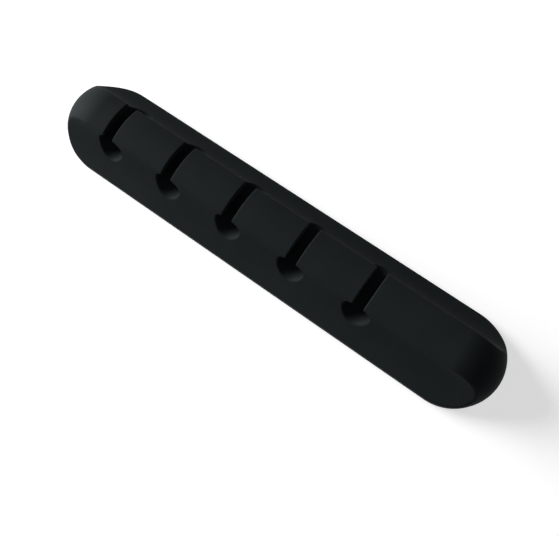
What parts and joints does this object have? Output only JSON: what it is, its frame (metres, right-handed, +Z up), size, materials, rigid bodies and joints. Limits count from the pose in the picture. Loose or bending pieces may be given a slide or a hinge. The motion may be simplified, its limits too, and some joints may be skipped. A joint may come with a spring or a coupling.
{
  "type": "silicone cable organizer",
  "caption": "Moulded silicone bar with round ends and a row of keyhole slots that hold cables side by side on a flat surface.",
  "frame": {"origin": "middle of the flat underside", "axes": "+X along the bar towards its longer blank end, +Y across it along the cable bores, +Z up from the underside to the top strip"},
  "size_m": [0.106, 0.02, 0.012],
  "materials": {
    "silicone": "satin black silicone"
  },
  "bodies": {
    "root": {"organizer_body": "silicone"}
  },
  "joints": []
}
